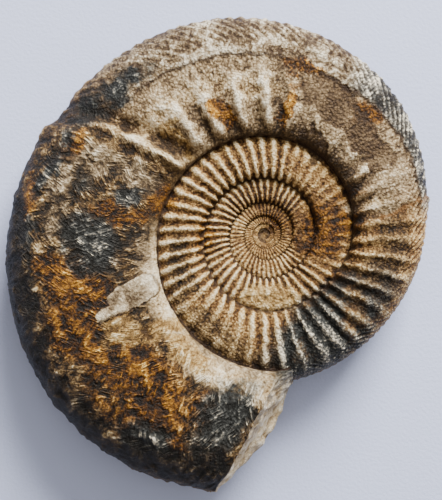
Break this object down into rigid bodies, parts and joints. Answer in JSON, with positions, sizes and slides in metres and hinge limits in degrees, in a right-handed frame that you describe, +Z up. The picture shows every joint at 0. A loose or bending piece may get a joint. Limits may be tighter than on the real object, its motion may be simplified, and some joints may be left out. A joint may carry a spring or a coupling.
{
  "type": "ammonite fossil",
  "caption": "Coiled ribbed ammonite turned to stone, with an open stepped umbilicus, a smooth body chamber, a constriction and a broken mouth. It lies on its side.",
  "frame": {"origin": "middle of the bounding box's bottom face, on the surface that the fossil lies on", "axes": "+Z up, close to the coiling axis and the thinnest way; +Y along the longest way, from the broken mouth to the far side of the coil; +X completes the right-handed frame"},
  "size_m": [0.135, 0.1516, 0.0351],
  "materials": {
    "fossil_stone": "rough mottled limestone and worn shell, cream, ochre brown and blue grey"
  },
  "bodies": {
    "root": {"ammonite": "fossil_stone"}
  },
  "joints": []
}
